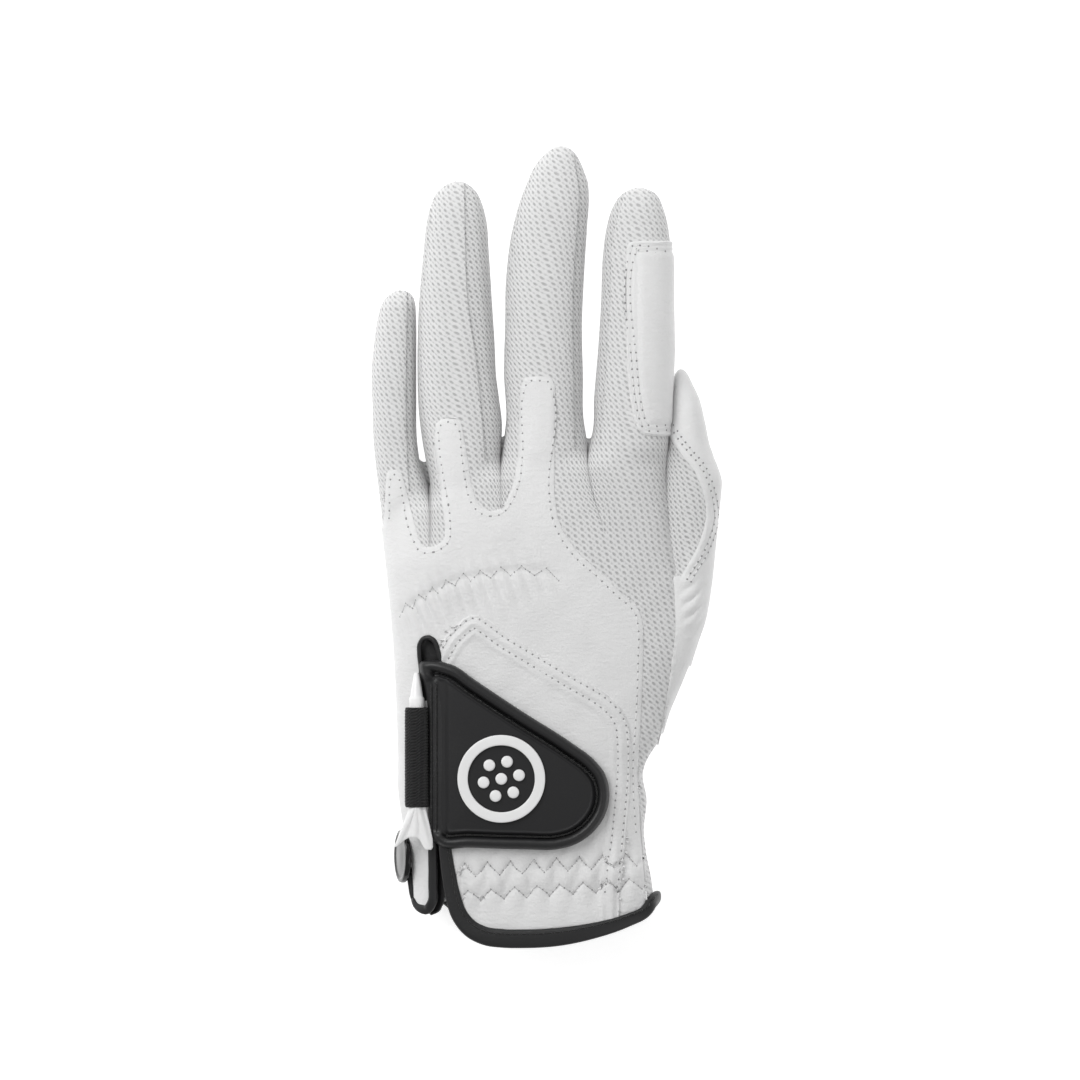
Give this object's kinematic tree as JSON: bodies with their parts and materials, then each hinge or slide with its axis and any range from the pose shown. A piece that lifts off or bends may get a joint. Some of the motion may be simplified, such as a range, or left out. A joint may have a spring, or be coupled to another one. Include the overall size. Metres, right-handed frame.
{
  "type": "golf glove",
  "caption": "Left-hand golf glove with a knit and leather back, padded closure tab, elastic wrist, tee holder with a tee and a round ball marker.",
  "frame": {"origin": "under the middle of the whole glove, which lies palm down on its surface", "axes": "+Z out of the back of the hand, +Y from the cuff to the fingertips, +X towards the thumb"},
  "size_m": [0.1048, 0.2402, 0.0304],
  "materials": {
    "palm_leather": "soft matt thin leather",
    "back_leather": "soft matt leather with a fine grain",
    "knit": "matt knitted mesh",
    "gusset_knit": "matt knitted mesh",
    "black_binding": "soft satin folded tape",
    "loop_fabric": "brushed, very short pile",
    "hook_fabric": "moulded hook tape",
    "elastic": "matt woven elastic",
    "black_elastic": "matt ribbed elastic",
    "tab_leather": "smooth satin",
    "foam": "soft closed-cell foam",
    "emblem_rubber": "moulded, satin",
    "white_plastic": "moulded, gloss",
    "marker_metal": "polished",
    "magnet_steel": "plain"
  },
  "bodies": {
    "hand": {"palm_panel": "palm_leather", "back_leather": "back_leather", "back_knit": "knit", "cuff_binding": "black_binding", "slit_binding": "black_binding", "loop_patch": "loop_fabric", "knuckle_elastic": "elastic", "cuff_elastic_upper": "elastic", "cuff_elastic_lower": "elastic", "palm_wrist_elastic": "elastic", "tee_loop": "black_elastic", "marker_stud": "magnet_steel", "tab_anchor": "tab_leather"},
    "closure_tab": {"tab_backing": "tab_leather", "tab_foam": "foam", "tab_cover": "tab_leather", "hook_patch": "hook_fabric", "tab_binding": "black_binding", "tab_emblem": "emblem_rubber"},
    "tee": {"golf_tee": "white_plastic"},
    "marker": {"ball_marker": "marker_metal"},
    "pinky": {"pinky_front": "palm_leather", "pinky_gusset": "gusset_knit", "pinky_back": "knit", "pinky_tab": "back_leather"},
    "ring": {"ring_front": "palm_leather", "ring_gusset_outer": "gusset_knit", "ring_gusset_inner": "gusset_knit", "ring_back": "knit", "ring_tab": "back_leather"},
    "middle": {"middle_front": "palm_leather", "middle_gusset_outer": "gusset_knit", "middle_gusset_inner": "gusset_knit", "middle_back": "knit", "middle_tab": "back_leather"},
    "index": {"index_front": "palm_leather", "index_gusset": "gusset_knit", "index_back": "knit", "index_patch": "back_leather"},
    "thumb": {"thumb_front": "palm_leather", "thumb_back": "palm_leather", "thumb_knit": "knit"}
  },
  "joints": [
    {"name": "pinky_flex", "type": "hinge", "parent": "hand", "child": "pinky", "pos_m": [-0.0442, 0.0149, 0.0086], "axis": [-1, 0, 0], "range_deg": [0, 75]},
    {"name": "ring_flex", "type": "hinge", "parent": "hand", "child": "ring", "pos_m": [-0.0258, 0.021, 0.01], "axis": [-1, 0, 0], "range_deg": [0, 75]},
    {"name": "middle_flex", "type": "hinge", "parent": "hand", "child": "middle", "pos_m": [0, 0.0281, 0.0096], "axis": [-1, 0, 0], "range_deg": [0, 75]},
    {"name": "index_flex", "type": "hinge", "parent": "hand", "child": "index", "pos_m": [0.025, 0.0291, 0.0094], "axis": [-1, 0, 0], "range_deg": [0, 75]},
    {"name": "thumb_spread", "type": "hinge", "parent": "hand", "child": "thumb", "pos_m": [0.0452, -0.0279, 0.0012], "axis": [-0.5, 0, -0.866], "range_deg": [0, 40]},
    {"name": "tab_peel", "type": "hinge", "parent": "hand", "child": "closure_tab", "pos_m": [-0.0314, -0.063, 0.0297], "axis": [0, -1, 0], "range_deg": [0, 140]},
    {"name": "tee_slide", "type": "slide", "parent": "hand", "child": "tee", "axis": [0, -1, 0], "range_m": [0, 0.06]},
    {"name": "marker_lift", "type": "slide", "parent": "hand", "child": "marker", "axis": [-0.97, 0, 0.243], "range_m": [0, 0.012]}
  ]
}
